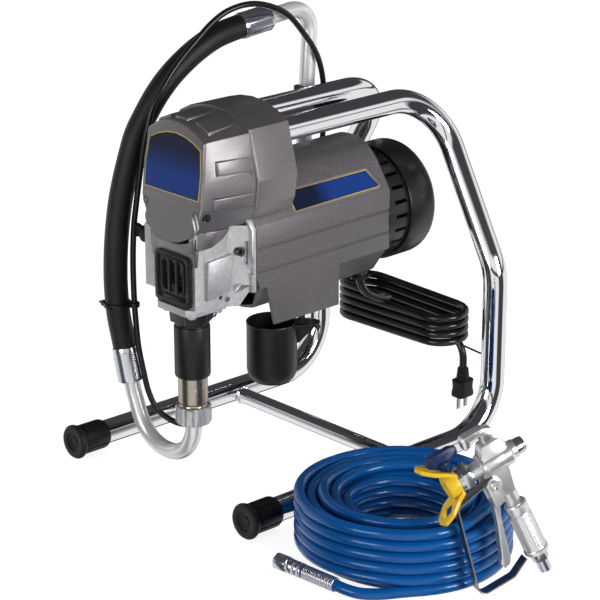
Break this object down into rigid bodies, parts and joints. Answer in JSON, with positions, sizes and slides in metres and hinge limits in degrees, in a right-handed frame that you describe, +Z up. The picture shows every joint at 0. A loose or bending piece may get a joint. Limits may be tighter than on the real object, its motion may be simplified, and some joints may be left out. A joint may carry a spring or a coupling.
{
  "type": "airless paint sprayer",
  "caption": "Electric airless paint sprayer on a tubular chrome stand, with suction hose, drip cup, coiled blue spray hose and spray gun.",
  "frame": {"origin": "centre of the object's box at the floor the stand rests on", "axes": "+X to the sprayer's right, where the spray hose and gun lie; +Y from the front cover to the motor's fan; +Z up"},
  "size_m": [0.6314, 0.4672, 0.536],
  "materials": {
    "chrome_tube": "polished chrome plate",
    "grey_paint": "speckled grey powder coat",
    "cast_silver": "silver painted casting",
    "black_rubber": "matte black rubber",
    "black_plastic": "matte black plastic",
    "steel": "machined steel",
    "stainless": "brushed stainless steel",
    "zinc": "zinc plated steel",
    "satin_tube": "satin aluminium",
    "copper": "enamelled copper winding on steel",
    "badge_blue": "gloss blue label, bare",
    "packing": "leather packing",
    "blue_hose": "gloss blue hose",
    "gun_metal": "polished aluminium",
    "strap_steel": "brushed steel strap",
    "yellow_plastic": "gloss yellow plastic",
    "navy_plastic": "navy plastic",
    "red_plastic": "gloss red plastic",
    "black_steel": "black painted steel"
  },
  "bodies": {
    "sprayer": {"frame_left": "chrome_tube", "frame_right": "chrome_tube", "crossbar": "chrome_tube", "foot_caps": "black_rubber", "rail_bracket": "black_plastic", "gear_housing": "cast_silver", "front_cover": "grey_paint", "case_screws": "black_plastic", "badge_plates": "badge_blue", "rod_guard": "black_plastic", "motor_shell": "grey_paint", "motor_can": "black_steel", "motor_bells": "cast_silver", "bearings": "steel", "vent_ring": "black_plastic", "fan_shroud": "black_plastic", "pump_flange": "cast_silver", "pump_cylinder": "stainless", "pump_sleeve": "black_plastic", "pump_packings": "packing", "jam_nut": "zinc", "intake_valve": "steel", "suction_elbow": "satin_tube", "hose_ferrules": "zinc", "suction_hose": "black_rubber", "suction_tube": "satin_tube", "strainer": "black_plastic", "fluid_manifold": "cast_silver", "outlet_fittings": "zinc", "drain_hose": "black_rubber", "ties_and_clips": "black_plastic", "drip_cup": "black_plastic", "control_box": "black_plastic", "cord_gland": "black_plastic", "mains_lead": "black_rubber", "mains_hank": "black_rubber", "mains_plug": "black_rubber", "spray_hose_coil": "blue_hose", "spray_hose_end": "blue_hose", "hose_fittings": "zinc", "gun_body": "gun_metal", "gun_grip": "gun_metal", "gun_strap": "strap_steel", "tip_nut": "gun_metal", "tip_guard": "yellow_plastic"},
    "rotor": {"armature": "copper", "cooling_fan": "black_plastic"},
    "idler": {"idler_gear": "steel"},
    "crank": {"crank_gear": "steel"},
    "pump_piston": {"pump_rod": "steel", "connecting_rod": "steel"},
    "piston_ball": {"outlet_ball": "steel"},
    "foot_ball": {"intake_ball": "steel"},
    "prime_handle": {"prime_lever": "black_plastic"},
    "knob": {"pressure_knob": "black_plastic"},
    "rocker": {"power_switch": "red_plastic"},
    "trigger": {"gun_trigger": "gun_metal"},
    "needle": {"gun_needle": "zinc"},
    "swivel": {"gun_swivel": "zinc"},
    "tip": {"tip_handle": "navy_plastic"}
  },
  "joints": [
    {"name": "rotor_spin", "type": "hinge", "parent": "sprayer", "child": "rotor", "pos_m": [-0.147, 0.018, 0.281], "axis": [0, 1, 0], "continuous": true},
    {"name": "idler_spin", "type": "hinge", "parent": "sprayer", "child": "idler", "pos_m": [-0.127, -0.102, 0.31093], "axis": [0, 1, 0], "continuous": true},
    {"name": "crank_spin", "type": "hinge", "parent": "sprayer", "child": "crank", "pos_m": [-0.147, -0.122, 0.3595], "axis": [0, 1, 0], "continuous": true},
    {"name": "pump_stroke", "type": "slide", "parent": "sprayer", "child": "pump_piston", "axis": [0, 0, 1], "range_m": [0, 0.024]},
    {"name": "outlet_ball_lift", "type": "slide", "parent": "pump_piston", "child": "piston_ball", "axis": [0, 0, 1], "range_m": [0, 0.0025]},
    {"name": "intake_ball_lift", "type": "slide", "parent": "sprayer", "child": "foot_ball", "axis": [0, 0, 1], "range_m": [0, 0.003]},
    {"name": "prime_turn", "type": "hinge", "parent": "sprayer", "child": "prime_handle", "pos_m": [-0.227, -0.15, 0.287], "axis": [-1, 0, 0], "range_deg": [0, 90]},
    {"name": "pressure_turn", "type": "hinge", "parent": "sprayer", "child": "knob", "pos_m": [-0.235, 0.01, 0.272], "axis": [-1, 0, 0], "range_deg": [0, 270]},
    {"name": "power_rock", "type": "hinge", "parent": "sprayer", "child": "rocker", "pos_m": [-0.226, 0.054, 0.272], "axis": [0, 0, 1], "range_deg": [0, 16]},
    {"name": "trigger_pull", "type": "hinge", "parent": "sprayer", "child": "trigger", "pos_m": [0.26919, -0.10717, 0.12465], "axis": [-0.8885, 0.4469, -0.1045], "range_deg": [-10, 0], "stiffness_Nm_per_rad": 1.2, "springref_deg": 5.73},
    {"name": "needle_slide", "type": "slide", "parent": "sprayer", "child": "needle", "axis": [0.3725, 0.8352, 0.4045], "range_m": [-0.0001, 0.0021]},
    {"name": "swivel_turn", "type": "hinge", "parent": "sprayer", "child": "swivel", "pos_m": [0.30432, -0.0601, 0.02724], "axis": [-0.2681, -0.3205, 0.9085], "continuous": true},
    {"name": "tip_turn", "type": "hinge", "parent": "sprayer", "child": "tip", "pos_m": [0.24967, -0.14532, 0.12745], "axis": [-0.2681, -0.3205, 0.9085], "range_deg": [0, 180]}
  ],
  "couplings": [
    {"joint": "idler_spin", "follows": "rotor_spin", "ratio": -0.2},
    {"joint": "crank_spin", "follows": "rotor_spin", "ratio": 0.05},
    {"joint": "needle_slide", "follows": "trigger_pull", "m_per_rad": -0.0115}
  ]
}
